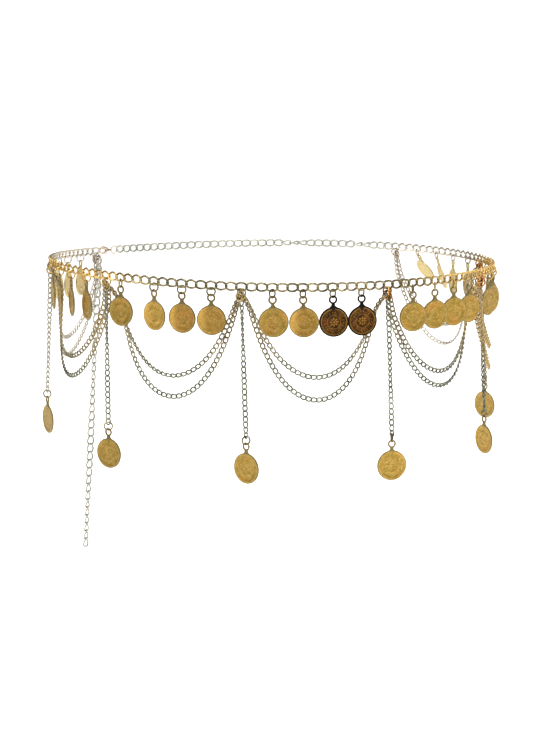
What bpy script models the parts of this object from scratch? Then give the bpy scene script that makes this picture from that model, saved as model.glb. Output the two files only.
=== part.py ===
"""Coin waist chain, worn and closed round a hollow waist.

A flat curb chain goes round the waist. Seven decorated panels of fifteen links cover the front and the
sides, and a plain chain closes the back with a lobster clasp. Each panel carries four coins and two
swags of finer chain. A longer strand with a coin of its own drops from each junction between two
panels, and the spare length of the main chain hangs from the clasp.

Metres, +Z up. The origin is the centre of the waist at the height of the chain. The front faces -Y.
"""
import math

import bmesh
import bpy
import numpy as np
from mathutils import Matrix, Vector

# The waist that the chain goes round: an oval, a little higher on one hip, with a gentle drape.
HALF_WIDTH = 0.1415
HALF_DEPTH = 0.1262
RISES = (  # how many rises go round, their height, and the angle of one of them from the front
    (1, 0.0029, math.radians(-90)),
    (2, 0.00105, math.radians(-72)),
    (3, 0.0006, math.radians(41)),
)

# Main chain: flat curb links, one fused band for each stretch, open at every link.
LINK_PITCH = 0.0058
LINK_HEIGHT = 0.0054
NECK_HEIGHT = 0.0042
LINK_THICKNESS = 0.0014
EYE_LENGTH = 0.0034
EYE_HEIGHT = 0.0030
PANEL_COUNT = 7
PANEL_LINKS = 15
BACK_LINKS = 37
TAIL_LINKS = 36
SEAM = 0.0003
STRAND_DEPTH = (LINK_HEIGHT + EYE_HEIGHT) / 4  # a link's lower strand below the chain's middle line

# Jump rings hang on a link's lower strand, which is the axis that a coin swings about.
RING_RADIUS = 0.0027
RING_WIRE = 0.00042
RING_SIDES = 8
RING_DROP = 0.0011  # ring's centre below that strand
RING_BOTTOM = RING_DROP + RING_RADIUS * math.cos(math.pi / RING_SIDES)

# Coins, each with a soldered neck and a loop that the jump ring carries.
COIN_RADIUS = 0.0086
DROP_COIN_RADIUS = 0.0090
COIN_THICKNESS = 0.0012
COIN_DEPTH = 0.0179  # coin's centre below the axis that it swings about
NECK_HALF_WIDTH = 0.0010
NECK_FOOT_HALF_WIDTH = 0.0021  # where the neck spreads into the disc
LOOP_RADIUS = 0.0024
LOOP_HOLE = 0.0014
LOOP_DEPTH = RING_BOTTOM - 0.0005 + (LOOP_RADIUS + LOOP_HOLE) / 2
COIN_SIDES = 14
LOOP_SIDES = 5

COIN_LINKS = (3, 6, 9, 12)  # links of a panel that carry its coins
SECOND_LEFT_LINKS = (2, 6, 9, 12)  # the panel left of the front has its first coin a link nearer
COIN_TURNS = (  # degrees that each panel's coins are turned about their own vertical, left to right
    (10, 8, 0, 0),
    (-4, -14, -18, -18),
    (0, -17, -8, -3),
    (3, 0, -5, -8),
    (-14, -13, -20, -16),
    (-17, -24, -24, -20),
    (-12, -21, -33, -19),
)
PANEL_TILTS = (0, 0, 0, 2.2, 1, 0, 0)  # degrees that a panel's coins hang aside, towards the next panel
COIN_LEANS = {(6, 2): 21, (6, 3): 37}  # degrees that the hip holds a panel's coin away, counted from 0

# Finer chain: two swags to a panel, and the drops between the panels.
STRAND_RADIUS = 0.0011
SWAG_SAGS = (  # inner and outer swag's lowest point below the chain's middle line, for each panel
    (0.0541, 0.0658),
    (0.0540, 0.0661),
    (0.0543, 0.0665),
    (0.0521, 0.0653),
    (0.0550, 0.0638),
    (0.0521, 0.0659),
    (0.0503, 0.0635),
)
SWAG_START = 0.0019  # beside the junction, behind it and below it
SWAG_START_DEPTH = 0.0049
SWAG_SPACING = 0.0027  # the outer swag starts this far behind the inner one
SWAG_PARTING = 0.0520  # and comes level with it this far down
SWAG_INSET = 0.0030  # how far both move in to pass behind the coins
SWAG_RAMP = 0.0150  # how far down they have done so
SWAG_BULGE = 0.0035  # how far the hips hold their lowest points out again
SWAG_STEPS = 18
DROP_RADIUS = 0.0010
DROPS = (  # length from the chain's middle line to the coin's axis, leans for each unit of depth, outwards
    (0.0836, 0.055, 0, 20),  # and along the chain, and degrees that the coin is turned
    (0.0884, 0.010, 0, 5),
    (0.0867, 0.040, 0.025, -34),
    (0.0881, 0.040, 0.011, -12),
    (0.0860, 0.040, 0, 54),
    (0.0813, 0.064, 0, 24),
)
DROP_EYE_RADIUS = 0.0017
DROP_EYE_WIRE = 0.00045
TAIL_START = 0.0036  # before the first junction
TAIL_LEAN = 0.095

# Lobster clasp between the back chain and the first junction.
CLASP_LENGTH = 0.0124
CLASP_HEIGHT = 0.0054
CLASP_THICKNESS = 0.0026
CLASP_RING_RADIUS = 0.0026
CLASP_RING_WIRE = 0.00045

MATERIALS = {  # colour, roughness, metallic
    "chain_gold": ((0.78, 0.62, 0.33), 0.28, 1.0),
    "back_gold": ((0.86, 0.78, 0.60), 0.32, 1.0),
    "ring_gold": ((0.80, 0.50, 0.20), 0.25, 1.0),
    "coin_gold": ((0.72, 0.53, 0.20), 0.38, 1.0),
    "coin_dark": ((0.10, 0.07, 0.03), 0.35, 1.0),
}
DARK_COINS = ((3, 2), (3, 3))  # panel and coin, counted from 0

COLLECTION = "coin_waist_chain"


def clear_scene():
    for item in list(bpy.data.objects):
        bpy.data.objects.remove(item)
    collection = bpy.data.collections.new(COLLECTION)
    bpy.context.scene.collection.children.link(collection)
    return collection


def make_materials():
    for name, (colour, roughness, metallic) in MATERIALS.items():
        material = bpy.data.materials.new(name)
        material.use_nodes = True
        shader = material.node_tree.nodes["Principled BSDF"]
        shader.inputs["Base Color"].default_value = (*colour, 1)
        shader.inputs["Roughness"].default_value = roughness
        shader.inputs["Metallic"].default_value = metallic


# The waist line

def waist_point(turn):
    """The chain's middle line at an angle round the oval, 0 at the front and growing towards +X."""
    height = sum(size * math.cos(count * (turn - top)) for count, size, top in RISES)
    return Vector((HALF_WIDTH * math.sin(turn), -HALF_DEPTH * math.cos(turn), height))


WAIST_TURNS = np.linspace(0, 2 * math.pi, 1441)
WAIST_LINE = np.array([waist_point(turn) for turn in WAIST_TURNS])
WAIST_ARC = np.concatenate([[0], np.cumsum(np.linalg.norm(np.diff(WAIST_LINE, axis=0), axis=1))])
WAIST_LENGTH = float(WAIST_ARC[-1])
FIRST_JUNCTION = -PANEL_COUNT * PANEL_LINKS * LINK_PITCH / 2


def waist_frame(arc):
    """Point, direction along the chain, up and outwards, at a length of chain from the front."""
    turn = float(np.interp(arc % WAIST_LENGTH, WAIST_ARC, WAIST_TURNS))
    step = 0.002
    along = (waist_point(turn + step) - waist_point(turn - step)).normalized()
    out = along.cross(Vector((0, 0, 1))).normalized()
    return waist_point(turn), along, out.cross(along), out


def junction_arc(index):
    return FIRST_JUNCTION + index * PANEL_LINKS * LINK_PITCH


def hanging_frame(arc):
    """Where something hangs plumb on the lower strand of the link there, as a matrix.

    Its X is along the chain, its Z straight up and its -Y outwards.
    """
    point, along, up, _ = waist_frame(arc)
    level = Vector((along.x, along.y, 0)).normalized()
    origin = point - up * STRAND_DEPTH
    return frame_matrix(origin, level, Vector((0, 0, 1)).cross(level), Vector((0, 0, 1)))


def frame_matrix(origin, x_axis, y_axis, z_axis):
    matrix = Matrix((x_axis, y_axis, z_axis)).transposed().to_4x4()
    matrix.translation = origin
    return matrix


# Making objects

def add_object(name, mesh, material, collection):
    """A mesh as a named object, shaded smooth on its round sides."""
    item = bpy.data.objects.new(name, mesh)
    collection.objects.link(item)
    mesh.materials.clear()
    mesh.materials.append(bpy.data.materials[material])
    mesh.shade_smooth()
    mesh.set_sharp_from_angle(angle=math.radians(40))
    return item


def mesh_of(item, weld=1e-6):
    """An object's evaluated mesh, placed as the object is and with its seams welded, without the object."""
    bpy.context.view_layer.update()
    mesh = bpy.data.meshes.new_from_object(item.evaluated_get(bpy.context.evaluated_depsgraph_get()))
    mesh.transform(item.matrix_world)
    bpy.data.objects.remove(item)
    shape = bmesh.new()
    shape.from_mesh(mesh)
    bmesh.ops.remove_doubles(shape, verts=shape.verts, dist=weld)
    bmesh.ops.recalc_face_normals(shape, faces=shape.faces)
    shape.to_mesh(mesh)
    shape.free()
    return mesh


def add_curve(name, outlines, closed, flat):
    """A curve object with one POLY spline for each outline."""
    curve = bpy.data.curves.new(name, "CURVE")
    curve.dimensions = "2D" if flat else "3D"
    for outline in outlines:
        spline = curve.splines.new("POLY")
        spline.points.add(len(outline) - 1)
        for point, place in zip(spline.points, outline):
            point.co = (*place, 1)
        spline.use_cyclic_u = closed
    item = bpy.data.objects.new(name, curve)
    bpy.context.scene.collection.objects.link(item)
    return item


def plate_mesh(name, outlines, thickness):
    """A flat plate in X and Y with an outline and its holes."""
    item = add_curve(name, outlines, closed=True, flat=True)
    item.data.fill_mode = "BOTH"
    item.data.extrude = thickness / 2
    return mesh_of(item)


def tube_mesh(name, route, radius, closed=False):
    """A four-sided tube along a route of points."""
    item = add_curve(name, [route], closed, flat=False)
    item.data.bevel_depth = radius
    item.data.bevel_resolution = 0
    item.data.use_fill_caps = not closed
    return mesh_of(item)


def ring_mesh(radius, wire, matrix):
    """A wire ring in a frame, round the frame's Z, with a straight side rather than a corner at its foot."""
    bpy.ops.mesh.primitive_torus_add(
        major_segments=RING_SIDES, minor_segments=3, major_radius=radius, minor_radius=wire
    )
    item = bpy.context.object
    item.matrix_world = matrix @ Matrix.Rotation(math.pi / RING_SIDES, 4, "Z")
    return mesh_of(item)


def joined_mesh(meshes):
    """One closed body from meshes that overlap."""
    items = [bpy.data.objects.new("joining", mesh) for mesh in meshes]
    for item in items:
        bpy.context.scene.collection.objects.link(item)
    for other in items[1:]:
        union = items[0].modifiers.new("union", "BOOLEAN")
        union.operation = "UNION"
        union.object = other
    mesh = mesh_of(items[0], weld=1e-8)
    for other in items[1:]:
        bpy.data.objects.remove(other)
    return mesh


def arc_points(radius, start, end, count, middle=(0, 0)):
    """Points on a round stretch of an outline, in X and Y, from one angle to another."""
    angles = [start + (end - start) * i / count for i in range(count + 1)]
    return [(middle[0] + radius * math.cos(a), middle[1] + radius * math.sin(a), 0) for a in angles]


# Main chain

def link_mesh():
    """One flat link with its eye, from X = 0 to the pitch, open towards its neighbours."""
    neck, half = NECK_HEIGHT / 2, LINK_HEIGHT / 2
    middle = LINK_PITCH / 2
    outer = [(0, -neck, 0), (middle, -half, 0), (LINK_PITCH, -neck, 0),
             (LINK_PITCH, neck, 0), (middle, half, 0), (0, neck, 0)]
    corners = ((-2, 0), (-1, -1), (1, -1), (2, 0), (1, 1), (-1, 1))
    eye = [(middle + x * EYE_LENGTH / 4, y * EYE_HEIGHT / 2, 0) for x, y in corners]
    return plate_mesh("link", [outer, eye], LINK_THICKNESS)


def chain_mesh(links, frame_at):
    """Fused flat links from the start of a route, each with its eye, bent to the route's frames."""
    shape = bmesh.new()
    link = link_mesh()
    for index in range(links):
        placed = link.copy()
        placed.transform(Matrix.Translation((index * LINK_PITCH, 0, 0)))
        shape.from_mesh(placed)
    length = links * LINK_PITCH
    shape.normal_update()
    between_links = [
        face for face in shape.faces
        if abs(face.normal.x) > 0.99
        and LINK_PITCH / 2 < face.calc_center_median().x < length - LINK_PITCH / 2
    ]
    bmesh.ops.delete(shape, geom=between_links, context="FACES_ONLY")
    bmesh.ops.remove_doubles(shape, verts=shape.verts, dist=1e-6)
    for vertex in shape.verts:
        x = min(max(vertex.co.x, SEAM / 2), length - SEAM / 2)
        point, along, up, out = frame_at(x)
        vertex.co = point + up * vertex.co.y + out * vertex.co.z
    mesh = bpy.data.meshes.new("chain")
    shape.to_mesh(mesh)
    shape.free()
    return mesh


def add_main_chain(collection):
    half_link = LINK_PITCH / 2
    for index in range(PANEL_COUNT):
        start = junction_arc(index) - half_link
        mesh = chain_mesh(PANEL_LINKS, lambda x, start=start: waist_frame(start + x))
        add_object(f"panel_chain_{index + 1}", mesh, "chain_gold", collection)
    start = junction_arc(PANEL_COUNT) - half_link
    mesh = chain_mesh(BACK_LINKS, lambda x: waist_frame(start + x))
    add_object("back_chain", mesh, "back_gold", collection)


def tail_frame(depth):
    """The spare chain hangs from below the clasp's hook, faces outwards and leans over the hip."""
    point, along, up, out = waist_frame(FIRST_JUNCTION - TAIL_START)
    down = (out * TAIL_LEAN - Vector((0, 0, 1))).normalized()
    face = along.cross(down).normalized()
    top = point - up * (LINK_HEIGHT / 2 + SEAM)
    return top + down * depth, down, face.cross(down), face


def add_tail(collection):
    add_object("tail_chain", chain_mesh(TAIL_LINKS, tail_frame), "back_gold", collection)


# Coins

def coin_outline(radius):
    """Coin, neck and loop as one outline round the coin's middle, and the loop's hole."""
    loop_height = COIN_DEPTH - LOOP_DEPTH
    at_coin = math.acos(NECK_FOOT_HALF_WIDTH / radius)
    at_loop = math.acos(NECK_HALF_WIDTH / LOOP_RADIUS)
    middle = (0, loop_height)
    disc = arc_points(radius, math.pi - at_coin, 2 * math.pi + at_coin, COIN_SIDES)
    loop = arc_points(LOOP_RADIUS, -at_loop, math.pi + at_loop, LOOP_SIDES, middle)
    hole = arc_points(LOOP_HOLE, 0, 2 * math.pi, LOOP_SIDES, middle)[:-1]
    return [disc + loop, hole]


def coin_mesh(radius, turn, tilt=0.0, lean=0.0):
    """A coin with its jump ring, hanging from the origin, which is the strand that it swings about.

    The coin is turned about the vertical and its ring stands across the chain. Both hang aside by the
    tilt and away from the wearer by the lean, all in degrees.
    """
    coin = plate_mesh("coin", coin_outline(radius), COIN_THICKNESS)
    turned = Matrix.Rotation(math.radians(turn), 4, "Z") @ Matrix.Rotation(math.pi / 2, 4, "X")
    coin.transform(Matrix.Translation((0, 0, -COIN_DEPTH)) @ turned)
    mesh = joined_mesh([coin, jump_ring_mesh()])
    mesh.transform(Matrix.Rotation(math.radians(-lean), 4, "X") @ Matrix.Rotation(math.radians(-tilt), 4, "Y"))
    return mesh


def jump_ring_mesh():
    across = Matrix.Rotation(math.pi / 2, 4, "Y")
    return ring_mesh(RING_RADIUS, RING_WIRE, Matrix.Translation((0, 0, -RING_DROP)) @ across)


def panel_coin_links(panel):
    return SECOND_LEFT_LINKS if panel == 2 else COIN_LINKS


def add_coins(collection):
    for panel in range(PANEL_COUNT):
        for index, link in enumerate(panel_coin_links(panel)):
            lean = COIN_LEANS.get((panel, index), 0)
            mesh = coin_mesh(COIN_RADIUS, COIN_TURNS[panel][index], PANEL_TILTS[panel], lean)
            mesh.transform(hanging_frame(junction_arc(panel) + link * LINK_PITCH))
            material = "coin_dark" if (panel, index) in DARK_COINS else "coin_gold"
            add_object(f"coin_{panel + 1}_{index + 1}", mesh, material, collection)


# Swags

def catenary_scale(half_span, sag):
    """The scale a of the catenary a cosh(x / a) that sags by so much over a half span."""
    low, high = half_span / 20, half_span * 20
    for _ in range(60):
        scale = (low + high) / 2
        if scale * (math.cosh(half_span / scale) - 1) > sag:
            low = scale
        else:
            high = scale
    return scale


def smooth(share):
    """0 to 1 with a soft start and end."""
    share = min(max(share, 0), 1)
    return share * share * (3 - 2 * share)


def swag_route(panel, sag, behind):
    """A swag's middle line from the panel's first junction to its second, starting behind the rings."""
    half_span = PANEL_LINKS * LINK_PITCH / 2 - SWAG_START
    hang = sag - SWAG_START_DEPTH
    scale = catenary_scale(half_span, hang)
    half_length = scale * math.sinh(half_span / scale)
    middle_arc = junction_arc(panel) + PANEL_LINKS * LINK_PITCH / 2
    route = []
    for step in range(SWAG_STEPS + 1):
        along = scale * math.asinh(half_length * (2 * step / SWAG_STEPS - 1) / scale)
        depth = SWAG_START_DEPTH + hang - scale * (math.cosh(along / scale) - 1)
        fall = depth - SWAG_START_DEPTH
        inset = SWAG_START + SWAG_INSET * smooth(fall / SWAG_RAMP)
        inset += behind * (1 - smooth(fall / SWAG_PARTING)) - SWAG_BULGE * (depth / sag) ** 3
        point, _, _, out = waist_frame(middle_arc + along)
        route.append(point - out * inset - Vector((0, 0, depth)))
    return route


def add_swags(collection):
    """Each panel's two swags, joined at both ends where they hang on the junctions' rings."""
    for panel in range(PANEL_COUNT):
        inner, outer = SWAG_SAGS[panel]
        there = swag_route(panel, inner, 0)
        back = swag_route(panel, outer, SWAG_SPACING)
        mesh = tube_mesh("swag", there + back[::-1], STRAND_RADIUS, closed=True)
        add_object(f"swags_{panel + 1}", mesh, "chain_gold", collection)


# Drops

def drop_end(index):
    """The axis that a drop's coin swings about."""
    length, lean_outwards, lean_along, _ = DROPS[index]
    frame = hanging_frame(junction_arc(index + 1))
    fall = length - STRAND_DEPTH
    lean = (frame.col[0].to_3d() * lean_along - frame.col[1].to_3d() * lean_outwards) * fall
    end = frame.copy()
    end.translation = frame.translation + lean - Vector((0, 0, fall))
    return end


def add_drops(collection):
    """A junction ring, a strand and its end eye in one solid, and the coin that swings on the eye."""
    eye_drop = Matrix.Translation((0, 0, DROP_EYE_RADIUS)) @ Matrix.Rotation(math.pi / 2, 4, "X")
    for index, (_, _, _, turn) in enumerate(DROPS):
        top, end = hanging_frame(junction_arc(index + 1)), drop_end(index)
        ring = jump_ring_mesh()
        ring.transform(top)
        eye = ring_mesh(DROP_EYE_RADIUS, DROP_EYE_WIRE, end @ eye_drop)
        first = top @ Vector((0, 0, -RING_BOTTOM))
        last = end @ Vector((0, 0, 2 * DROP_EYE_RADIUS))
        strand = tube_mesh("drop", [first, (first + last) / 2, last], DROP_RADIUS)
        add_object(f"drop_{index + 1}", joined_mesh([ring, strand, eye]), "chain_gold", collection)
        coin = coin_mesh(DROP_COIN_RADIUS, turn)
        coin.transform(end)
        add_object(f"drop_coin_{index + 1}", coin, "coin_gold", collection)


def add_end_rings(collection):
    """The first and the last junction carry a ring for their swags and no drop."""
    for name, index in (("end_ring_left", 0), ("end_ring_right", PANEL_COUNT)):
        ring = jump_ring_mesh()
        ring.transform(hanging_frame(junction_arc(index)))
        add_object(name, ring, "ring_gold", collection)


# Clasp

def clasp_outline():
    """A lobster clasp seen from its face, nose at the origin: body, thumb lever, hook's gap and eye."""
    half = CLASP_HEIGHT / 2
    body = [
        (0, 0.0004, 0), (0.0010, half * 0.75, 0), (0.0032, half, 0), (0.0056, half * 0.92, 0),
        (0.0078, half * 0.62, 0), (0.0100, half * 0.40, 0), (CLASP_LENGTH, half * 0.34, 0),
        (CLASP_LENGTH, -half * 0.34, 0), (0.0096, -half * 0.42, 0), (0.0086, -half * 0.96, 0),
        (0.0076, -half * 0.98, 0), (0.0068, -half * 0.66, 0), (0.0032, -half, 0), (0.0010, -half * 0.7, 0),
    ]
    gap = [(0.0013, 0, 0), (0.0026, -0.0014, 0), (0.0052, -0.0011, 0), (0.0062, 0, 0),
           (0.0052, 0.0014, 0), (0.0026, 0.0015, 0)]
    return [body[::-1], gap]


def add_clasp(collection):
    """The clasp lies along the chain before the first junction, with its ring towards the back chain."""
    nose = FIRST_JUNCTION - LINK_PITCH / 2 - SEAM / 2
    body = plate_mesh("clasp", clasp_outline(), CLASP_THICKNESS)
    for vertex in body.vertices:
        point, _, up, out = waist_frame(nose - vertex.co.x)
        vertex.co = point + up * vertex.co.y - out * vertex.co.z
    reach = CLASP_LENGTH + CLASP_RING_RADIUS + CLASP_RING_WIRE - 0.0005
    point, along, up, out = waist_frame(nose - reach)
    ring = ring_mesh(CLASP_RING_RADIUS, CLASP_RING_WIRE, frame_matrix(point, along, up, out))
    add_object("lobster_clasp", joined_mesh([body, ring]), "ring_gold", collection)


def main():
    collection = clear_scene()
    make_materials()
    add_main_chain(collection)
    add_tail(collection)
    add_clasp(collection)
    add_end_rings(collection)
    add_swags(collection)
    add_drops(collection)
    add_coins(collection)


main()
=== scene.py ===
# Coin waist chain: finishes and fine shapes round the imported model, in metres, +Z up, the front at -Y
import math
import random

import bmesh
import bpy
import numpy as np
from mathutils import Matrix, Vector


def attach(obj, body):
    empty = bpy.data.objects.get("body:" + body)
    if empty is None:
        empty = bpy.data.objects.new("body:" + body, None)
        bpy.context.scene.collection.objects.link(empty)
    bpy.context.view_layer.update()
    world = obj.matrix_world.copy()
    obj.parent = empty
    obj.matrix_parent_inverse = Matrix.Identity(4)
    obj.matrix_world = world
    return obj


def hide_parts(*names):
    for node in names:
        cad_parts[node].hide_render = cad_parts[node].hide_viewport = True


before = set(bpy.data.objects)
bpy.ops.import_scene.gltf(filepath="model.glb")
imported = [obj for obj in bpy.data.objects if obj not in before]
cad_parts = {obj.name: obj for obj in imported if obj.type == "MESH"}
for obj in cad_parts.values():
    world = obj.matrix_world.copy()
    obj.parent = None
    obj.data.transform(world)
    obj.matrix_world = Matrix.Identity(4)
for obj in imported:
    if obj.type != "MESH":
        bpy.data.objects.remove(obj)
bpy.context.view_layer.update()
bpy.context.scene.view_settings.view_transform = "Standard"
print("frame loaded")

up = Vector((0, 0, 1))


# Camera

cameraSetup = {
    "place": (-0.2086, -1.0193, 0.1156),
    "turn": -0.2026,  # about the vertical, in radians
    "tiltDown": 0.1750,
    "roll": 0.0071,
    "lens": 80.02,
    "sensor": 36,
    "nearest": 0.05,
}


def addCamera(setup):
    lens = bpy.data.cameras.new("photoCamera")
    lens.lens = setup["lens"]
    lens.sensor_width = setup["sensor"]
    lens.clip_start = setup["nearest"]
    camera = bpy.data.objects.new("photoCamera", lens)
    bpy.context.scene.collection.objects.link(camera)
    turn = Matrix.Rotation(setup["turn"], 4, "Z")
    tilt = Matrix.Rotation(math.pi / 2 - setup["tiltDown"], 4, "X")
    aim = turn @ tilt @ Matrix.Rotation(-setup["roll"], 4, "Z")
    camera.matrix_world = Matrix.Translation(setup["place"]) @ aim
    bpy.context.scene.camera = camera


addCamera(cameraSetup)


# The waist line that the chain follows

waist = {
    "halfWidth": 0.1415,
    "halfDepth": 0.1262,
    # waves in its height: how many round the waist, height, degrees from the front
    "rises": ((1, 0.0029, -90), (2, 0.00105, -72), (3, 0.0006, 41)),
    "steps": 1441,
    "halfStep": 0.002,  # in radians, half the turn over which the chain's direction is taken
}
chainPlan = {
    "pitch": 0.0058,
    "panels": 7,
    "panelLinks": 15,
    "backLinks": 37,
    "tailLinks": 36,
    "strandDepth": 0.0021,  # a link's lower strand below its middle
}


def waistPoint(turn):
    height = sum(size * math.cos(count * (turn - math.radians(top))) for count, size, top in waist["rises"])
    across = waist["halfWidth"] * math.sin(turn)
    back = -waist["halfDepth"] * math.cos(turn)
    return Vector((across, back, height))


waistTurns = np.linspace(0, 2 * math.pi, waist["steps"])
waistLine = np.array([waistPoint(turn) for turn in waistTurns])
waistArc = np.concatenate([[0], np.cumsum(np.linalg.norm(np.diff(waistLine, axis=0), axis=1))])
firstJunction = -chainPlan["panels"] * chainPlan["panelLinks"] * chainPlan["pitch"] / 2


def waistFrame(arc):
    # point, direction along the chain, up and outwards, at a length of chain from the front
    turn = float(np.interp(arc % waistArc[-1], waistArc, waistTurns))
    halfStep = waist["halfStep"]
    along = (waistPoint(turn + halfStep) - waistPoint(turn - halfStep)).normalized()
    out = along.cross(up).normalized()
    return waistPoint(turn), along, out.cross(along), out


def junctionArc(index):
    return firstJunction + index * chainPlan["panelLinks"] * chainPlan["pitch"]


def axesMatrix(origin, xAxis, yAxis, zAxis):
    matrix = Matrix((xAxis, yAxis, zAxis)).transposed().to_4x4()
    matrix.translation = origin
    return matrix


def hangingFrame(arc):
    # where something hangs plumb on a link's lower strand: X along the chain, -Y outwards, Z up
    point, along, rise, _ = waistFrame(arc)
    level = Vector((along.x, along.y, 0)).normalized()
    return axesMatrix(point - rise * chainPlan["strandDepth"], level, up.cross(level), up)


# Finishes

class Wire:  # a socket in a finish, for maths written as expressions
    def __init__(self, finish, socket):
        self.finish = finish
        self.socket = socket

    def maths(self, operation, first, second):
        return self.finish.add("ShaderNodeMath", {"operation": operation}, {0: first, 1: second})

    def __add__(self, other):
        return self.maths("ADD", self, other)

    def __radd__(self, other):
        return self.maths("ADD", other, self)

    def __sub__(self, other):
        return self.maths("SUBTRACT", self, other)

    def __rsub__(self, other):
        return self.maths("SUBTRACT", other, self)

    def __mul__(self, other):
        return self.maths("MULTIPLY", self, other)

    def __rmul__(self, other):
        return self.maths("MULTIPLY", other, self)

    def between(self, low, high):  # 0 at low to 1 at high, smoothly
        sockets = {"Value": self, "From Min": low, "From Max": high}
        return self.finish.add("ShaderNodeMapRange", {"interpolation_type": "SMOOTHSTEP"}, sockets)


class Finish:
    def __init__(self, name):
        self.material = bpy.data.materials.new(name)
        self.material.use_nodes = True
        self.tree = self.material.node_tree
        self.shader = self.tree.nodes["Principled BSDF"]

    def plug(self, entry, value):
        if isinstance(value, Wire):
            self.tree.links.new(value.socket, entry)
        elif entry.type == "RGBA" and len(value) == 3:
            entry.default_value = (*value, 1)
        else:
            entry.default_value = value

    def add(self, kind, settings, sockets, output=0):
        node = self.tree.nodes.new(kind)
        for key, value in settings.items():
            setattr(node, key, value)
        for key, value in sockets.items():
            self.plug(node.inputs[key], value)
        return Wire(self, node.outputs[output])

    def noise(self, scale, detail, rough=0.5):
        place = self.add("ShaderNodeTexCoord", {}, {}, "Object")
        sockets = {"Vector": place, "Scale": scale, "Detail": detail, "Roughness": rough}
        return self.add("ShaderNodeTexNoise", {}, sockets)

    def mixColour(self, amount, first, second):
        settings = {"data_type": "RGBA"}
        return self.add("ShaderNodeMix", settings, {0: amount, 6: first, 7: second}, 2)

    def attribute(self, name):
        return self.add("ShaderNodeAttribute", {"attribute_name": name}, {}, "Fac")

    def bump(self, height, strength, distance):
        sockets = {"Height": height, "Strength": strength, "Distance": distance}
        self.plug(self.shader.inputs["Normal"], self.add("ShaderNodeBump", {}, sockets))

    def set(self, **sockets):
        for key, value in sockets.items():
            self.plug(self.shader.inputs[key.replace("_", " ")], value)


wireLooks = {  # plated wire: shaded tone, bright tone, warm tone, roughness from and to
    "chainGold": {
        "shade": (0.100, 0.085, 0.042), "bright": (0.23, 0.198, 0.112), "warm": (0.52, 0.345, 0.115),
        "rough": (0.40, 0.54), "patches": 0.22,
    },
    "fineGold": {
        "shade": (0.110, 0.115, 0.083), "bright": (0.205, 0.210, 0.160), "warm": (0.44, 0.30, 0.12),
        "rough": (0.46, 0.58), "patches": 0.04,
    },
    # a paler, greyer copy of the chain's plating for the back chain and the tail; on the back chain it is a
    # painted pale wash of light on the far side
    "backGold": {
        "shade": (0.31, 0.312, 0.262), "bright": (0.40, 0.398, 0.345), "warm": (0.42, 0.36, 0.30),
        "rough": (0.48, 0.60), "patches": 0.25,
    },
    "ringGold": {
        "shade": (0.13, 0.055, 0.014), "bright": (0.50, 0.30, 0.105), "warm": (0.50, 0.225, 0.055),
        "rough": (0.28, 0.44), "patches": 0.50,
    },
}
paleWashWire = (0.50, 0.455, 0.39)  # painted pale wash: the far side of the wire is painted paler, standing in for the light that washes it out
# painted pale wash on the far coins
paleWashCoin = (0.64, 0.53, 0.27)
wirePattern = {  # of each noise: repeats a metre, detail
    "cloud": (420, 3), "tarnish": (1400, 4), "patch": (70, 2), "scratch": (2600, 3),
    "lightFade": (0.40, 0.72), "patchFade": (0.50, 0.80), "tarnishFade": (0.56, 0.74),
    "cloudShare": 0.8, "tintShare": 0.3, "sideShare": 0.75, "tarnishShare": 0.5, "paleWashShare": 0.8,
    "patchTint": 0.4, "patchNoise": 0.6,
    "scratchStrength": 0.12, "scratchDepth": 0.0001,
}


def makeWireFinish(name):
    look, pattern = wireLooks[name], wirePattern
    finish = Finish(name)
    tint = finish.attribute("linkTint")
    cloud = finish.noise(*pattern["cloud"])
    tarnish = finish.noise(*pattern["tarnish"])
    light = (cloud * pattern["cloudShare"] + tint * pattern["tintShare"]).between(*pattern["lightFade"])
    tone = finish.mixColour(light, look["shade"], look["bright"])
    patch = tint * pattern["patchTint"] + finish.noise(*pattern["patch"]) * pattern["patchNoise"]
    warmth = finish.attribute("sideWarmth") * pattern["sideShare"]
    warmth = warmth + patch.between(*pattern["patchFade"]) * look["patches"]
    tone = finish.mixColour(warmth, tone, look["warm"])
    stain = tarnish.between(*pattern["tarnishFade"]) * pattern["tarnishShare"]
    tone = finish.mixColour(stain, tone, look["shade"])
    # painted pale wash on the far side
    tone = finish.mixColour(finish.attribute("paintedPaleWash") * pattern["paleWashShare"], tone, paleWashWire)
    low, high = look["rough"]
    finish.set(Base_Color=tone, Metallic=1.0, Roughness=low + (high - low) * tarnish)
    scratch = finish.noise(*pattern["scratch"])
    finish.bump(scratch, pattern["scratchStrength"], pattern["scratchDepth"])
    return finish.material


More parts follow.
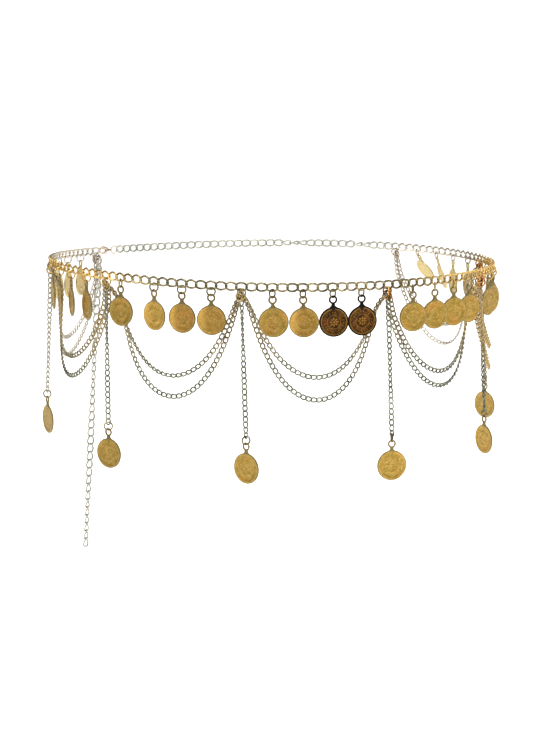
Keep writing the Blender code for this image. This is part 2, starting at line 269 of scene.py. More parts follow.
coinLooks = {  # stamped coins: field, worn high spots (painted glints on the dark finish), hollows, warm patches, rim (a painted dark reflection), the painted warm reflection on the left edge
    "coinGold": {
        "field": (0.365, 0.233, 0.053), "worn": (0.48, 0.325, 0.102), "hollow": (0.255, 0.168, 0.024),
        "warm": (0.440, 0.205, 0.038), "rim": (0.185, 0.140, 0.052), "rough": 0.44, "wearAndGlint": 0.25,
        "paintedReflection": (0.78, 0.48, 0.10), "sparkle": 0.7,
        "rimFrom": 0.95, "neckFull": 1.15,
    },
    # painted dark reflection: the whole palette paints the coin as mirroring a dark surface, with gold
    # glints on the stamped forms
    "coinDark": {
        "field": (0.092, 0.038, 0.005), "worn": (0.40, 0.195, 0.026), "hollow": (0.018, 0.006, 0.001),
        "warm": (0.17, 0.048, 0.012), "rim": (0.007, 0.004, 0.002), "rough": 0.40, "wearAndGlint": 0.75,
        "paintedReflection": (0.20, 0.09, 0.02), "sparkle": 0.15,
        "rimFrom": 0.885, "neckFull": 0.45,
    },
}
coinPattern = {  # of each noise: repeats a metre, detail, roughness
    "cloud": (330, 4, 0.5), "speck": (1300, 5, 0.65), "grit": (800, 3, 0.6), "patch": (140, 2, 0.5),
    "cloudFade": (0.38, 0.66), "patchFade": (0.5, 0.75),
    "speckFade": (0.50, 0.64), "gritFade": (0.52, 0.64),
    "wearAndGlintFade": (0.3, 1.0), "reflectionFade": (0.35, 1.0), "reflectionStart": 0.15, "rimFade": 0.03,
    "patchShare": 0.7, "reflectionWarmShare": 0.35, "speckShare": 0.65, "paleWashShare": 0.55,
    "metal": 0.85, "speckRough": 0.18,
    "speckHigh": 0.6, "cloudHigh": 0.4, "bumpStrength": 0.35, "bumpDepth": 0.00025,
}


def makeCoinFinish(name):
    look, pattern = coinLooks[name], coinPattern
    finish = Finish(name)
    disc = finish.add("ShaderNodeTexCoord", {}, {}, "UV")  # coin radius 1 round the middle
    radius = finish.add("ShaderNodeVectorMath", {"operation": "LENGTH"}, {0: disc}, "Value")
    across = finish.add("ShaderNodeSeparateXYZ", {}, {0: disc}, 0)
    height = finish.attribute("relief")  # 0 in the field, 1 on top of the stamped forms
    edgeReflection = finish.attribute("edgeReflection")
    cloud = finish.noise(*pattern["cloud"])
    speck = finish.noise(*pattern["speck"])
    grit = finish.noise(*pattern["grit"])
    patch = finish.noise(*pattern["patch"])
    tone = finish.mixColour(cloud.between(*pattern["cloudFade"]), look["hollow"], look["field"])
    warmth = patch.between(*pattern["patchFade"]) * pattern["patchShare"]
    # warmer all over where a coin has the painted reflection
    warmth = warmth + edgeReflection * pattern["reflectionWarmShare"]
    tone = finish.mixColour(warmth, tone, look["warm"])
    # painted warm reflection, brightest at the coin's left edge
    paintedReflection = (pattern["reflectionStart"] - across).between(*pattern["reflectionFade"]) * edgeReflection
    tone = finish.mixColour(paintedReflection, tone, look["paintedReflection"])
    # worn bright on the stamped forms; on the dark coins these are painted glints
    tone = finish.mixColour(height.between(*pattern["wearAndGlintFade"]) * look["wearAndGlint"], tone, look["worn"])
    pits = speck.between(*pattern["speckFade"]) * pattern["speckShare"]
    tone = finish.mixColour(pits, tone, look["hollow"])
    tone = finish.mixColour(grit.between(*pattern["gritFade"]) * look["sparkle"], tone, look["worn"])
    # painted dark reflection on the rim
    rimFrom, rimTo = look["rimFrom"] - pattern["rimFade"], look["rimFrom"] + pattern["rimFade"]
    tone = finish.mixColour(radius.between(rimFrom, rimTo), tone, look["rim"])
    # painted dark reflection on the neck and loop
    tone = finish.mixColour(finish.attribute("neckDarkReflection").between(0, look["neckFull"]), tone, look["rim"])
    # painted light and shade: each coin's colour scaled lighter or darker
    shade = finish.attribute("coinShade")
    tone = finish.add("ShaderNodeVectorMath", {"operation": "SCALE"}, {0: tone, "Scale": shade})
    # painted pale wash on the far side
    tone = finish.mixColour(finish.attribute("paintedPaleWash") * pattern["paleWashShare"], tone, paleWashCoin)
    rough = look["rough"] + pattern["speckRough"] * speck
    finish.set(Base_Color=tone, Metallic=pattern["metal"], Roughness=rough)
    relief = speck * pattern["speckHigh"] + cloud * pattern["cloudHigh"]
    finish.bump(relief, pattern["bumpStrength"], pattern["bumpDepth"])
    return finish.material


finishes = {name: makeWireFinish(name) for name in wireLooks}
finishes.update({name: makeCoinFinish(name) for name in coinLooks})
print("finishes made")


# Making pieces

crispFrom = 50  # degrees between two faces that keep a crisp edge


def addPiece(name, shape, finish, body, nodes=()):
    mesh = bpy.data.meshes.new(name)
    bmesh.ops.recalc_face_normals(shape, faces=shape.faces)
    shape.to_mesh(mesh)
    shape.free()
    mesh.materials.append(finishes[finish])
    mesh.shade_smooth()
    mesh.set_sharp_from_angle(angle=math.radians(crispFrom))
    piece = bpy.data.objects.new(name, mesh)
    bpy.context.scene.collection.objects.link(piece)
    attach(piece, body)
    if nodes:
        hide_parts(*nodes)


def shapeToMesh(shape, name):
    mesh = bpy.data.meshes.new(name)
    shape.to_mesh(mesh)
    shape.free()
    return mesh


def smooth(value):
    value = min(max(value, 0), 1)
    return value * value * (3 - 2 * value)


def edgesOf(verts):
    # each edge once, in the same order every run
    return list(dict.fromkeys(edge for vert in verts for edge in vert.link_edges))


def spinRound(shape, geometry, steps):
    bmesh.ops.spin(
        shape, geom=geometry, cent=(0, 0, 0), axis=(0, 0, 1), angle=2 * math.pi, steps=steps, use_merge=True
    )


def ringMesh(radius, wire, steps, sides):
    # a wire ring round Z
    shape = bmesh.new()
    aside = Matrix.Translation((radius, 0, 0)) @ Matrix.Rotation(math.pi / 2, 4, "X")
    section = bmesh.ops.create_circle(shape, segments=sides, radius=wire, matrix=aside)["verts"]
    spinRound(shape, section + edgesOf(section), steps)
    return shapeToMesh(shape, "ring")


def linkMesh(size):
    # a curb link: an oval of wire along X, its ends twisted so that the next link lies flat through it
    mesh = ringMesh(size["length"] / 2, size["wire"] / 2, size["steps"], size["sides"])
    halfLength = (size["length"] - size["wire"]) / 2
    halfHeight = (size["height"] - size["wire"]) / 2
    for vertex in mesh.vertices:
        turn = math.atan2(vertex.co.y, vertex.co.x)
        outward = math.hypot(vertex.co.x, vertex.co.y) - size["length"] / 2
        reach = math.sin(turn)
        if reach < 0:  # a hanging link is flatter along its foot
            reach = -abs(reach) ** size["foot"]
        normal = Vector((math.cos(turn) / halfLength, math.sin(turn) / halfHeight, 0)).normalized()
        twist = size["twist"] * math.sin(2 * turn)
        middle = Vector((halfLength * math.cos(turn), halfHeight * reach, twist))
        vertex.co = middle + normal * outward + Vector((0, 0, vertex.co.z * size["flat"]))
    return mesh


toneZones = {  # where each fade of the tone starts and how far it runs
    "right": (0.042, 0.064),
    "rightLow": (-0.062, 0.050),
    "hip": (0.112, 0.020),
    "hipLower": 0.053,  # how much lower the warmth reaches past the right hip
    "left": (0.093, 0.030),
    "leftLow": (-0.062, 0.045),
    "front": (-0.022, 0.030),
    "junction": (-0.058, 0.035),
    "junctionWarmth": 0.45,
    # where the painted pale wash of the far side starts and how far it runs
    "back": (-0.002, 0.045),
}


def fade(value, zone, shift=0.0):
    start, run = toneZones[zone]
    return smooth((value - start + shift) / run)


def warmthAt(point):
    # oranger towards the hips, on the chain and the tops of what hangs on it, and less towards the back
    if point.x > 0:
        lower = toneZones["hipLower"] * fade(point.x, "hip")
        warmth = fade(point.x, "right") * fade(point.z, "rightLow", lower)
    else:
        warmth = fade(-point.x, "left") * fade(point.z, "leftLow")
    return warmth * fade(-point.y, "front")


# painted pale wash: paler towards the back, standing in for the light that washes the far side out
def paleWashAt(point):
    return fade(point.y, "back")


def swagWarmthAt(point):
    # near the junctions a swag is golder everywhere
    top = toneZones["junctionWarmth"] * fade(point.z, "junction")
    return max(warmthAt(point), top * (1 - paleWashAt(point)))


def nowhere(point):
    return 0.0


def halfway(point):
    return 0.5


# starts of the random draws; a panel's chain starts with its number, a jump ring with its node's name
seeds = {
    "backChain": 20, "tail": 21, "swags": 40, "drops": 60,
    "junctionRings": 80, "endRings": 90, "claspRing": 95,
}


def layLinks(link, places, seed, warm=warmthAt, pale=paleWashAt):
    # one shape with a link at each place, and a tint, a warmth and a painted pale wash of its own on each
    shape = bmesh.new()
    tint = shape.verts.layers.float.new("linkTint")
    sideWarmth = shape.verts.layers.float.new("sideWarmth")
    paintedPaleWash = shape.verts.layers.float.new("paintedPaleWash")
    pick = random.Random(seed)
    for place in places:
        copy = link.copy()
        copy.transform(place)
        start = len(shape.verts)
        shape.from_mesh(copy)
        bpy.data.meshes.remove(copy)
        shape.verts.ensure_lookup_table()
        value = pick.random()
        for index in range(start, len(shape.verts)):
            shape.verts[index][tint] = value
            shape.verts[index][sideWarmth] = warm(place.translation)
            shape.verts[index][paintedPaleWash] = pale(place.translation)
    return shape


# Main chain

curbLink = {
    "length": 0.0078, "height": 0.0058, "wire": 0.00134, "twist": 0.00065, "flat": 0.95, "foot": 1.0,
    "steps": 16, "sides": 6,
}
hungLink = {**curbLink, "foot": 0.70}  # a link that coins pull down
hungPanels = (4, 5, 6)
chainWobble = {"roll": 5, "yaw": 2.5}  # degrees that one link may be turned from the next
backTurn = 85  # degrees that the back chain is turned at its edge-on spots
backTwists = ((-0.0325, 0.011), (-0.0807, 0.008))  # those spots: length from its middle, half width

mainLink = linkMesh(curbLink)
pulledLink = linkMesh(hungLink)


def linkPlace(point, along, rise, out, roll=0.0):
    return axesMatrix(point, along, rise, out) @ Matrix.Rotation(roll, 4, "X")


def wobble(pick):
    roll = math.radians(pick.uniform(-1, 1) * chainWobble["roll"])
    yaw = math.radians(pick.uniform(-1, 1) * chainWobble["yaw"])
    return Matrix.Rotation(roll, 4, "X") @ Matrix.Rotation(yaw, 4, "Z")


def backRoll(fromMiddle):
    edgeOn = sum(math.exp(-((fromMiddle - middle) / width) ** 2) for middle, width in backTwists)
    return math.radians(backTurn) * edgeOn


def addMainChain():
    pitch = chainPlan["pitch"]
    for panel in range(chainPlan["panels"]):
        pick = random.Random(panel)
        places = [
            linkPlace(*waistFrame(junctionArc(panel) + link * pitch)) @ wobble(pick)
            for link in range(chainPlan["panelLinks"])
        ]
        shape = layLinks(pulledLink if panel in hungPanels else mainLink, places, panel)
        addPiece(f"curb_links_{panel + 1}", shape, "chainGold", "chain", [f"panel_chain_{panel + 1}"])
    pick = random.Random(seeds["backChain"])
    start = junctionArc(chainPlan["panels"])
    middle = chainPlan["backLinks"] * pitch / 2
    places = [
        linkPlace(*waistFrame(start + link * pitch), roll=backRoll(link * pitch - middle)) @ wobble(pick)
        for link in range(chainPlan["backLinks"])
    ]
    shape = layLinks(mainLink, places, seeds["backChain"], nowhere, nowhere)
    addPiece("curb_links_back", shape, "backGold", "chain", ["back_chain"])


tail = {
    "start": 0.0036,  # beside the first junction
    "lean": 0.095,  # outwards for each unit of depth
    "below": 0.0030,  # its top below the chain's middle
    "roll": 18,  # degrees that its links turn to either side
    "rollRun": 0.35,  # radians of that wave from link to link
}


def tailPlace(depth, roll):
    point, along, rise, out = waistFrame(firstJunction - tail["start"])
    down = (out * tail["lean"] - up).normalized()
    face = along.cross(down).normalized()
    return linkPlace(point - rise * tail["below"] + down * depth, down, face.cross(down), face, roll)


def addTail():
    pick = random.Random(seeds["tail"])
    places = []
    for link in range(chainPlan["tailLinks"]):
        roll = math.radians(tail["roll"]) * math.sin(link * tail["rollRun"])
        places.append(tailPlace((link + 0.5) * chainPlan["pitch"], roll) @ wobble(pick))
    shape = layLinks(mainLink, places, seeds["tail"], nowhere, nowhere)
    addPiece("curb_links_tail", shape, "backGold", "chain", ["tail_chain"])


addMainChain()
addTail()
print("main chain made")


# Coins

coin = {
    "radius": 0.0086,
    "dropRadius": 0.0090,
    "depth": 0.0179,  # its middle below the axis that it swings about
    "loopUp": 0.0128,  # its loop's middle above its own
    "loopRadius": 0.0020,
    "loopWire": 0.00057,
    "loopSteps": 20,
    "loopSides": 8,
    "neck": (  # half width and height of the soldered tab above the coin's middle, in mm
        (0.95, 11.1), (0.92, 9.9), (1.25, 9.2), (2.25, 8.45),
        (2.0, 8.05), (1.15, 7.9), (1.05, 7.2), (0.45, 6.4),
    ),
    "neckDepth": 0.00142,
    "neckBevel": 0.00018,
    "around": 56,
    "profile": (  # radius and height above the coin's middle plane, in mm
        (0, 0.36), (3.70, 0.36), (3.86, 0.50), (4.10, 0.50), (4.26, 0.36), (7.05, 0.36),
        (7.35, 0.54), (7.55, 0.60), (8.25, 0.60), (8.50, 0.52), (8.60, 0.36),
    ),
    "beads": {"count": 44, "ring": 0.0068, "size": 0.00024},
    "marks": {  # every second one is shorter
        "count": 20, "ring": 0.00545, "long": 0.0011, "short": 0.45, "wide": 0.00034, "high": 0.00032,
    },
    "petals": {"count": 8, "ring": 0.0018, "long": 0.0021, "wide": 0.0010, "high": 0.00042},
    "boss": 0.00062,
    "bossHigh": 1.3,  # for each unit of a petal's height
    "field": 0.00036,
    "stamped": 0.0002,  # the height over the field at which a form has the full worn tone, painted glints on the dark coins
    "plainFrom": 0.0072,  # outside this only the rim is raised
    "faint": 0.55,  # how much lower than struck the worn relief is
}
coinLinks = {2: (2, 6, 9, 12)}  # the panel left of the front has its first coin a link nearer
evenLinks = (3, 6, 9, 12)
coinTurns = (
    (10, 8, 0, 0),
    (-4, -14, -18, -18),
    (0, -17, -8, -3),
    (3, 0, -5, -8),
    (-14, -13, -20, -16),
    (-17, -24, -24, -20),
    (-12, -21, -33, -19),
)
panelTilts = (0, 0, 0, 2.2, 1, 0, 0)  # degrees that a panel's coins hang aside
coinLeans = {(6, 2): 21, (6, 3): 37}  # degrees that the hip holds a panel's coin away
coinPaintedLight = {  # painted light and shade: how light or dark a panel's coin is painted, and how strongly its left edge has the painted reflection
    (2, 0): (0.76, 0.0), (2, 1): (1.02, 0.3), (2, 2): (0.66, 0.95), (2, 3): (0.66, 0.9),
    (3, 0): (0.77, 0.2), (3, 1): (0.71, 0.9),
}
# painted shade of the other panel coins, with no painted reflection
plainCoinLight = (0.89, 0.0)
# painted light and shade of each drop coin
dropPaintedShades = (0.80, 0.75, 0.88, 1.03, 1.03, 0.92)
jumpRing = {"radius": 0.0024, "wire": 0.00050, "drop": 0.00148, "steps": 20, "sides": 6}
ringTurns = (  # degrees that each coin's jump ring is turned from square across the chain
    (45, 45, 45, 45),
    (-20, -28, -35, -43),
    (20, -72, -66, -88),
    (-43, -50, -56, -62),
    (-30, -44, -45, -58),
    (20, 20, 20, 20),
    (20, 20, 20, 20),
)
# two coins painted with a dark reflection
darkReflectionCoins = ((3, 2), (3, 3))


def addRelief(shape, kind, place, size):
    # a stamped form, half sunk in the field
    if kind == "bead":
        bmesh.ops.create_icosphere(shape, subdivisions=1, radius=size[0], matrix=place)
    elif kind == "bar":
        bmesh.ops.create_cube(shape, size=1, matrix=place @ Matrix.Diagonal((*size, 1)))
    else:
        bmesh.ops.create_uvsphere(
            shape, u_segments=10, v_segments=6, radius=0.5, matrix=place @ Matrix.Diagonal((*size, 1))
        )


def coinDiscMesh():
    # the stamped disc in X and Y: a turned profile, then beads, marks and a rosette on both faces
    shape = bmesh.new()
    half = [(radius / 1000, height / 1000) for radius, height in coin["profile"]]
    profile = half + [(radius, -height) for radius, height in half[::-1]]
    verts = [shape.verts.new((radius, 0, height)) for radius, height in profile]
    edges = [shape.edges.new(pair) for pair in zip(verts, verts[1:])]
    spinRound(shape, verts + edges, coin["around"])
    bmesh.ops.remove_doubles(shape, verts=shape.verts, dist=1e-6)
    for side in (1, -1):
        lift = Matrix.Translation((0, 0, side * coin["field"]))
        beads, marks, petals = coin["beads"], coin["marks"], coin["petals"]
        for index in range(beads["count"]):
            turn = Matrix.Rotation(2 * math.pi * index / beads["count"], 4, "Z")
            place = lift @ turn @ Matrix.Translation((beads["ring"], 0, 0))
            addRelief(shape, "bead", place, [beads["size"]])
        for index in range(marks["count"]):
            turn = Matrix.Rotation(2 * math.pi * (index + 0.5) / marks["count"], 4, "Z")
            length = marks["long"] * (1, marks["short"])[index % 2]
            place = lift @ turn @ Matrix.Translation((marks["ring"], 0, 0))
            addRelief(shape, "bar", place, (length, marks["wide"], marks["high"]))
        for index in range(petals["count"]):
            turn = Matrix.Rotation(2 * math.pi * index / petals["count"], 4, "Z")
            place = lift @ turn @ Matrix.Translation((petals["ring"], 0, 0))
            addRelief(shape, "petal", place, (petals["long"], petals["wide"], petals["high"]))
        bossHeight = petals["high"] * coin["bossHigh"]
        addRelief(shape, "petal", lift, (2 * coin["boss"], 2 * coin["boss"], bossHeight))
    return shapeToMesh(shape, "disc")


def neckMesh():
    # the soldered tab from the loop down over the rim, spread where it meets the disc
    shape = bmesh.new()
    right = [(half / 1000, height / 1000) for half, height in coin["neck"]]
    outline = right + [(-half, height) for half, height in right[::-1]]
    verts = [shape.verts.new((x, y, -coin["neckDepth"] / 2)) for x, y in outline]
    front = bmesh.ops.extrude_face_region(shape, geom=[shape.faces.new(verts)])
    raised = [item for item in front["geom"] if isinstance(item, bmesh.types.BMVert)]
    bmesh.ops.translate(shape, verts=raised, vec=(0, 0, coin["neckDepth"]))
    bmesh.ops.recalc_face_normals(shape, faces=shape.faces)
    bmesh.ops.bevel(
        shape, geom=list(shape.edges), offset=coin["neckBevel"], offset_type="OFFSET",
        affect="EDGES", segments=2, profile=0.5, material=-1,
    )
    return shapeToMesh(shape, "neck")


coinParts = {
    "disc": coinDiscMesh(),
    "neck": neckMesh(),
    "loop": ringMesh(coin["loopRadius"], coin["loopWire"], coin["loopSteps"], coin["loopSides"]),
    "ring": ringMesh(jumpRing["radius"], jumpRing["wire"], jumpRing["steps"], jumpRing["sides"]),
}
coinParts["loop"].transform(Matrix.Translation((0, coin["loopUp"], 0)))
neckDarkReflectionShares = {"disc": 0.0, "neck": 0.45, "loop": 1.0}  # how far each part has the rim's painted dark reflection


def coinShape(place, radius, look):
    # disc, neck and loop at a place, with the coin's own map and how high each point is stamped
    shape = bmesh.new()
    neckDarkReflection = shape.verts.layers.float.new("neckDarkReflection")
    relief = shape.verts.layers.float.new("relief")
    discMap = shape.loops.layers.uv.new("discMap")
    shade = shape.verts.layers.float.new("coinShade")
    paintedReflection = shape.verts.layers.float.new("edgeReflection")
    paintedPaleWash = shape.verts.layers.float.new("paintedPaleWash")
    for part, mask in neckDarkReflectionShares.items():
        start = len(shape.verts)
        shape.from_mesh(coinParts[part])
        shape.verts.ensure_lookup_table()
        for vert in shape.verts[start:]:
            vert[neckDarkReflection] = mask
            # painted shade and painted edge reflection, coin by coin
            vert[shade], vert[paintedReflection] = look
            vert[paintedPaleWash] = paleWashAt(place.translation)
            if part == "disc":
                stamped = abs(vert.co.z) - coin["field"]
                vert[relief] = stamped / coin["stamped"]
                if stamped > 0 and vert.co.xy.length < coin["plainFrom"]:
                    vert.co.z *= 1 - coin["faint"] * stamped / abs(vert.co.z)
                vert.co.xy *= radius / coin["radius"]
    for face in shape.faces:
        for corner in face.loops:
            corner[discMap].uv = corner.vert.co.xy / radius
    shape.transform(place)
    return shape


def addCoin(node, hang, radius, turn, ringTurn, finish, look):
    upright = Matrix.Rotation(math.pi / 2, 4, "X")
    fall = Matrix.Translation((0, 0, -coin["depth"]))
    place = hang @ fall @ Matrix.Rotation(math.radians(turn), 4, "Z") @ upright
    addPiece(f"stamped_{node}", coinShape(place, radius, look), finish, node, [node])
    across = Matrix.Rotation(math.radians(ringTurn), 4, "Z") @ Matrix.Rotation(math.pi / 2, 4, "Y")
    ringPlace = hang @ Matrix.Translation((0, 0, -jumpRing["drop"])) @ across
    ring = layLinks(coinParts["ring"], [ringPlace], sum(map(ord, node)))
    addPiece(f"jump_ring_{node}", ring, "chainGold", node)


def addPanelCoins():
    for panel in range(chainPlan["panels"]):
        for index, link in enumerate(coinLinks.get(panel, evenLinks)):
            node = f"coin_{panel + 1}_{index + 1}"
            lean = Matrix.Rotation(-math.radians(coinLeans.get((panel, index), 0)), 4, "X")
            tilt = Matrix.Rotation(-math.radians(panelTilts[panel]), 4, "Y")
            hang = hangingFrame(junctionArc(panel) + link * chainPlan["pitch"]) @ lean @ tilt
            # painted dark reflection on two coins
            finish = "coinDark" if (panel, index) in darkReflectionCoins else "coinGold"
            look = coinPaintedLight.get((panel, index), plainCoinLight)
            turn, ringTurn = coinTurns[panel][index], ringTurns[panel][index]
            addCoin(node, hang, coin["radius"], turn, ringTurn, finish, look)


addPanelCoins()
print("coins made")


# Fine chain: swags and drops

fineLink = {
    "length": 0.0047, "height": 0.0035, "wire": 0.00100, "twist": 0.00040, "flat": 1.0, "foot": 1.0,
    "steps": 12, "sides": 5,
}
finePitch = 0.0032
smallLink = linkMesh(fineLink)


def linksAlong(points, faces, rolls, pitch):
    # places for links, a pitch apart, along a dense route, each turned about the route by its roll
    points = np.array(points)
    lengths = np.concatenate([[0], np.cumsum(np.linalg.norm(np.diff(points, axis=0), axis=1))])
    count = max(int(round(lengths[-1] / pitch)), 1)
    step = lengths[-1] / count
    places = []
    for index in range(count):
        ends = []
        for distance in (index * step, (index + 0.5) * step, (index + 1) * step):
            point = [float(np.interp(distance, lengths, points[:, axis])) for axis in range(3)]
            ends.append(Vector(point))
        along = (ends[2] - ends[0]).normalized()
        share = (index + 0.5) / count
        face = faces(share)
        face = (face - along * face.dot(along)).normalized()
        places.append(linkPlace(ends[1], along, face.cross(along), face, math.radians(rolls(share))))
    return places


swag = {
    "sags": (
        (0.0541, 0.0658),
        (0.0540, 0.0661),
        (0.0543, 0.0665),
        (0.0521, 0.0653),
        (0.0550, 0.0638),
        (0.0521, 0.0659),
        (0.0503, 0.0635),
    ),
    "start": 0.0019,  # beside the junction
    "startDepth": 0.0049,
    "spacing": 0.0027,  # the outer swag behind the inner one at the top
    "parting": 0.0520,  # the depth by which that gap has closed
    "inset": 0.0030,  # behind the chain, so clear of the coins
    "ramp": 0.0150,  # the depth by which it is fully there
    "bulge": 0.0035,  # outwards again at its lowest
    "steps": 160,
    "ringGrip": (0.0006, 0.0056),  # the end links' hold on the junction ring: beside it, below the chain
    "gripRamp": 0.0100,  # the length of chain over which an end is drawn to its ring
    "flattest": 20,  # the search for the hanging curve's scale: from and to, in half spans
    "halvings": 60,
}
swagRolls = (  # degrees that each panel's inner and outer swag are turned: left end, middle, right end
    ((20, 10, 30), (-10, 0, 20)),
    ((30, 20, 45), (10, 5, 20)),
    ((40, 35, 10), (30, 0, 20)),
    ((50, 10, 70), (10, 0, 15)),
    ((40, 10, 20), (75, 30, 20)),
    ((30, 20, 20), (20, 10, 10)),
    ((30, 60, 75), (20, 60, 80)),
)


def catenaryScale(halfSpan, sag):
    low, high = halfSpan / swag["flattest"], halfSpan * swag["flattest"]
    for _ in range(swag["halvings"]):
        scale = (low + high) / 2
        if scale * (math.cosh(halfSpan / scale) - 1) > sag:
            low = scale
        else:
            high = scale
    return scale


def swagRoute(panel, sag, behind):
    # the hanging curve behind the coins, drawn in to the junction rings at its ends
    halfPanel = chainPlan["panelLinks"] * chainPlan["pitch"] / 2
    halfSpan = halfPanel - swag["start"]
    hang = sag - swag["startDepth"]
    scale = catenaryScale(halfSpan, hang)
    halfLength = scale * math.sinh(halfSpan / scale)
    middle = junctionArc(panel) + halfPanel
    beside, below = swag["ringGrip"]
    route = []
    for step in range(swag["steps"] + 1):
        run = halfLength * (2 * step / swag["steps"] - 1)
        along = scale * math.asinh(run / scale)
        depth = swag["startDepth"] + hang - scale * (math.cosh(along / scale) - 1)
        fall = depth - swag["startDepth"]
        inset = swag["start"] + swag["inset"] * smooth(fall / swag["ramp"])
        inset += behind * (1 - smooth(fall / swag["parting"])) - swag["bulge"] * (depth / sag) ** 3
        point, _, _, out = waistFrame(middle + along)
        free = point - out * inset - up * depth
        gripArc = middle + math.copysign(halfPanel - beside, along)
        grip = waistFrame(gripArc)[0] - up * below
        pull = 1 - smooth((halfLength - abs(run)) / swag["gripRamp"])
        route.append(free.lerp(grip, pull))
    return route


def rollBetween(marks):
    # marks are evenly spaced along the chain
    def roll(share):
        run = share * (len(marks) - 1)
        before = min(int(run), len(marks) - 2)
        return marks[before] + (marks[before + 1] - marks[before]) * smooth(run - before)
    return roll


def outAlong(panel):
    # outwards from the waist, at a share of a panel
    def out(share):
        return waistFrame(junctionArc(panel) + share * chainPlan["panelLinks"] * chainPlan["pitch"])[3]
    return out


def addSwags():
    for panel in range(chainPlan["panels"]):
        places = []
        for side, sag in enumerate(swag["sags"][panel]):
            route = swagRoute(panel, sag, side * swag["spacing"])
            places += linksAlong(route, outAlong(panel), rollBetween(swagRolls[panel][side]), finePitch)
        shape = layLinks(smallLink, places, seeds["swags"] + panel, swagWarmthAt)
        addPiece(f"swag_links_{panel + 1}", shape, "fineGold", "chain", [f"swags_{panel + 1}"])


drops = {
    # length to the coin's axis, leans outwards and along for each unit of depth, coin's turn, ring's turn
    "rows": (
        (0.0836, 0.055, 0, 20, -18),
        (0.0884, 0.010, 0, 5, -50),
        (0.0867, 0.040, 0.025, -34, -62),
        (0.0881, 0.040, 0.011, -12, -20),
        (0.0860, 0.040, 0, 54, 72),
        (0.0813, 0.064, 0, 24, 40),
    ),
    "rolls": (  # degrees that the links are turned at evenly spaced marks down each drop
        (-82, -75, -35, -30, -40),
        (5, 10, 35, 0, -30, -40, -40),
        (30, 70, 70, 30, 0, 0, 5, 45),
        (37, 27, 10, -10, -28, -20, 17, 27, -5),
        (-40, 0, 40, -20),
        (-90, -60, -90),
    ),
    "tones": (  # where each drop's tone is warm and where it has the painted pale wash
        (nowhere, halfway), (nowhere, nowhere), (nowhere, nowhere),
        (nowhere, nowhere), (warmthAt, paleWashAt), (warmthAt, paleWashAt),
    ),
    "ringTones": (  # the finish of each junction's rings, and where it is warm
        ("chainGold", warmthAt), ("chainGold", warmthAt), ("chainGold", halfway),
        ("ringGold", warmthAt), ("ringGold", warmthAt), ("ringGold", warmthAt),
    ),
    "topDepth": 0.0058,  # the first link's start below the chain's lower strand
    "ringReach": 0.0004,  # the last link's end below the axis of the coin's ring
    "steps": 40,
}
junctionRingRows = (  # each ring's shift along the chain, fall and turn in degrees
    (-0.0006, 0, 48),
    (0.0006, 0.0002, -40),
    (0.0001, 0.0024, 8),
    (-0.0007, 0.0021, 80),
)


def dropEnd(index):
    # the axis that a drop's coin swings about
    length, leanOut, leanAlong, _, _ = drops["rows"][index]
    top = hangingFrame(junctionArc(index + 1))
    fall = length - chainPlan["strandDepth"]
    end = top.copy()
    lean = top.col[0].to_3d() * leanAlong - top.col[1].to_3d() * leanOut
    end.translation = top.translation + lean * fall - up * fall
    return end


def junctionRings(arc):
    # crossed rings that the swags and the drop hang on
    hang = hangingFrame(arc) @ Matrix.Translation((0, 0, -jumpRing["drop"]))
    upright = Matrix.Rotation(math.pi / 2, 4, "Y")
    return [
        hang @ Matrix.Translation((shift, 0, -fall)) @ Matrix.Rotation(math.radians(turn), 4, "Z") @ upright
        for shift, fall, turn in junctionRingRows
    ]


def addDrops():
    for index, (_, _, _, turn, ringTurn) in enumerate(drops["rows"]):
        top, end = hangingFrame(junctionArc(index + 1)), dropEnd(index)
        first = top @ Vector((0, 0, -drops["topDepth"]))
        last = end @ Vector((0, 0, -drops["ringReach"]))
        route = [first.lerp(last, step / drops["steps"]) for step in range(drops["steps"] + 1)]
        face = -top.col[1].to_3d()
        rolls = rollBetween(drops["rolls"][index])
        places = linksAlong(route, lambda share, face=face: face, rolls, finePitch)
        shape = layLinks(smallLink, places, seeds["drops"] + index, *drops["tones"][index])
        addPiece(f"drop_links_{index + 1}", shape, "fineGold", "chain", [f"drop_{index + 1}"])
        finish, ringWarmth = drops["ringTones"][index]
        ringPlaces = junctionRings(junctionArc(index + 1))
        rings = layLinks(coinParts["ring"], ringPlaces, seeds["junctionRings"] + index, ringWarmth)
        addPiece(f"junction_rings_{index + 1}", rings, finish, "chain")
        look = (dropPaintedShades[index], 0.0)
        addCoin(f"drop_coin_{index + 1}", end, coin["dropRadius"], turn, ringTurn, "coinGold", look)


def addEndRings():
    for name, index in (("end_ring_left", 0), ("end_ring_right", chainPlan["panels"])):
        rings = layLinks(coinParts["ring"], junctionRings(junctionArc(index)), seeds["endRings"] + index)
        addPiece(f"wire_{name}", rings, "ringGold", "chain", [name])


addSwags()
addDrops()
addEndRings()
print("fine chain made")


# Lobster clasp

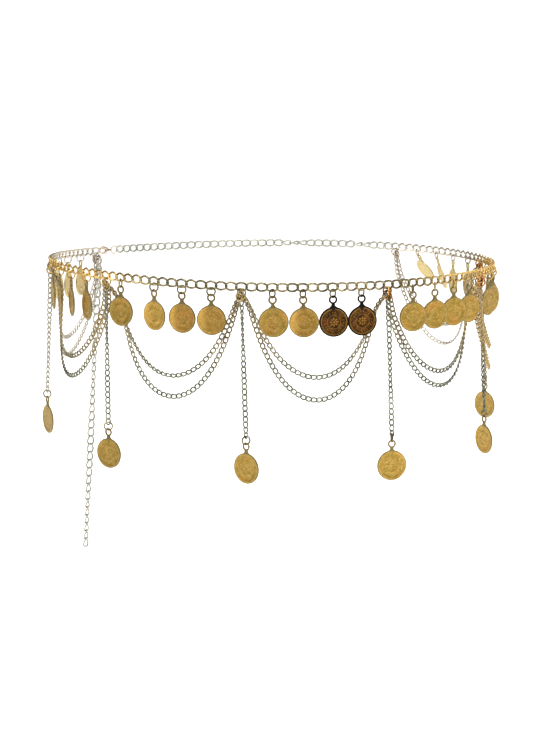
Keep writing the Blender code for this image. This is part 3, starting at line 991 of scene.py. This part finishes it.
clasp = {
    # places along and up from the nose, and half thickness, in mm; the hook runs round the nose to its tip
    "hook": (
        (8.6, 0.3, 1.10), (7.0, 1.3, 1.15), (5.2, 1.9, 1.05), (3.2, 1.95, 0.95),
        (1.5, 1.4, 0.85), (0.75, 0.3, 0.72), (1.3, -0.8, 0.55),
    ),
    "gate": (
        (1.5, -1.2, 0.42), (3.4, -1.85, 0.50), (5.4, -1.75, 0.60), (7.2, -0.9, 0.85), (8.6, 0.0, 1.00),
    ),
    "lever": ((6.2, -1.5, 0.50), (7.2, -2.2, 0.50), (7.7, -2.75, 0.42)),
    "stem": ((7.6, 0.1, 1.25), (9.4, 0.1, 1.05), (11.2, 0.0, 0.80), (12.5, 0.0, 0.55)),
    "ringRadius": 0.0026,
    "ringWire": 0.00045,
    "ringAt": 0.01495,
    "ringSteps": 24,
    "ringSides": 8,
    "noseGap": 0.00015,  # past the first link
    "sides": 12,
    # the clasp's tint, warmth and a fixed share of the painted pale wash
    "tones": {"linkTint": 0.3, "sideWarmth": 0.2, "paintedPaleWash": 0.7},
}


def sweptTube(shape, stations):
    # round sections along a flat route, bridged, with closed ends
    points = [Vector((x, y, 0)) / 1000 for x, y, _ in stations]
    loops = []
    for index, (point, (_, _, half)) in enumerate(zip(points, stations)):
        before, after = points[max(index - 1, 0)], points[min(index + 1, len(points) - 1)]
        along = (after - before).normalized()
        place = axesMatrix(point, up, along.cross(up), along)
        circle = bmesh.ops.create_circle(shape, segments=clasp["sides"], radius=half / 1000, matrix=place)
        loops.append(edgesOf(circle["verts"]))
    for first, second in zip(loops, loops[1:]):
        bmesh.ops.bridge_loops(shape, edges=first + second)
    for loop in (loops[0], loops[-1]):
        bmesh.ops.edgeloop_fill(shape, edges=loop)


def addClasp():
    nose = firstJunction - chainPlan["pitch"] / 2 - clasp["noseGap"]
    shape = bmesh.new()
    for name in clasp["tones"]:
        shape.verts.layers.float.new(name)
    for part in ("hook", "gate", "lever", "stem"):
        sweptTube(shape, clasp[part])
    for vert in shape.verts:
        point, _, rise, out = waistFrame(nose - vert.co.x)
        vert.co = point + rise * vert.co.y - out * vert.co.z
        for name, value in clasp["tones"].items():
            vert[shape.verts.layers.float[name]] = value
    addPiece("clasp_body", shape, "ringGold", "chain", ["lobster_clasp"])
    ring = ringMesh(clasp["ringRadius"], clasp["ringWire"], clasp["ringSteps"], clasp["ringSides"])
    place = linkPlace(*waistFrame(nose - clasp["ringAt"]))
    addPiece("clasp_ring", layLinks(ring, [place], seeds["claspRing"]), "ringGold", "chain")


addClasp()
print("clasp made")


# Floor and light

studio = {
    "floorHeight": -0.2130,
    "floorSize": 24,
    "floorColour": (0.99, 0.99, 0.985),
    "floorGrain": (40, 2),  # repeats a metre, detail
    "grainShade": 0.985,
    "floorRough": 0.9,
    "worldSeen": 1.05,  # on the floor and past it
    "worldMirrored": 0.42,  # in the metal
    "lightAim": (0, 0, -0.05),
    "lights": (  # name, place, size, power, colour
        ("keyLight", (-1.3, -1.2, 1.5), 1.1, 40, (1.0, 0.97, 0.92)),
        ("topLight", (0.1, 0.3, 1.9), 1.6, 30, (1.0, 1.0, 1.0)),
        ("sideLight", (1.5, -0.6, 0.7), 0.9, 14, (1.0, 0.95, 0.88)),
    ),
}


def addFloor():
    shape = bmesh.new()
    bmesh.ops.create_grid(
        shape, x_segments=1, y_segments=1, size=studio["floorSize"] / 2,
        matrix=Matrix.Translation((0, 0, studio["floorHeight"])),
    )
    mesh = shapeToMesh(shape, "studioFloor")
    paper = Finish("floorPaper")
    pale = studio["floorColour"]
    shaded = [studio["grainShade"] * value for value in pale]
    tone = paper.mixColour(paper.noise(*studio["floorGrain"]), pale, shaded)
    paper.set(Base_Color=tone, Roughness=studio["floorRough"], Specular_IOR_Level=0.0)
    mesh.materials.append(paper.material)
    floor = bpy.data.objects.new("studioFloor", mesh)
    bpy.context.scene.collection.objects.link(floor)


def addWorld():
    world = bpy.data.worlds.new("studioWorld")
    world.use_nodes = True
    tree = world.node_tree
    tree.nodes.clear()
    seen = tree.nodes.new("ShaderNodeBackground")
    seen.inputs["Strength"].default_value = studio["worldSeen"]
    mirrored = tree.nodes.new("ShaderNodeBackground")
    mirrored.inputs["Strength"].default_value = studio["worldMirrored"]
    for background in (seen, mirrored):
        background.inputs["Color"].default_value = (1, 1, 1, 1)
    path = tree.nodes.new("ShaderNodeLightPath")
    mix = tree.nodes.new("ShaderNodeMixShader")
    output = tree.nodes.new("ShaderNodeOutputWorld")
    tree.links.new(path.outputs["Is Glossy Ray"], mix.inputs[0])
    tree.links.new(seen.outputs[0], mix.inputs[1])
    tree.links.new(mirrored.outputs[0], mix.inputs[2])
    tree.links.new(mix.outputs[0], output.inputs[0])
    bpy.context.scene.world = world


def addLights():
    for name, place, size, power, colour in studio["lights"]:
        light = bpy.data.lights.new(name, "AREA")
        light.size = size
        light.energy = power
        light.color = colour
        lamp = bpy.data.objects.new(name, light)
        bpy.context.scene.collection.objects.link(lamp)
        lamp.location = place
        aim = Vector(studio["lightAim"]) - Vector(place)
        lamp.rotation_euler = aim.to_track_quat("-Z", "Y").to_euler()


addFloor()
addWorld()
addLights()
print("studio made")
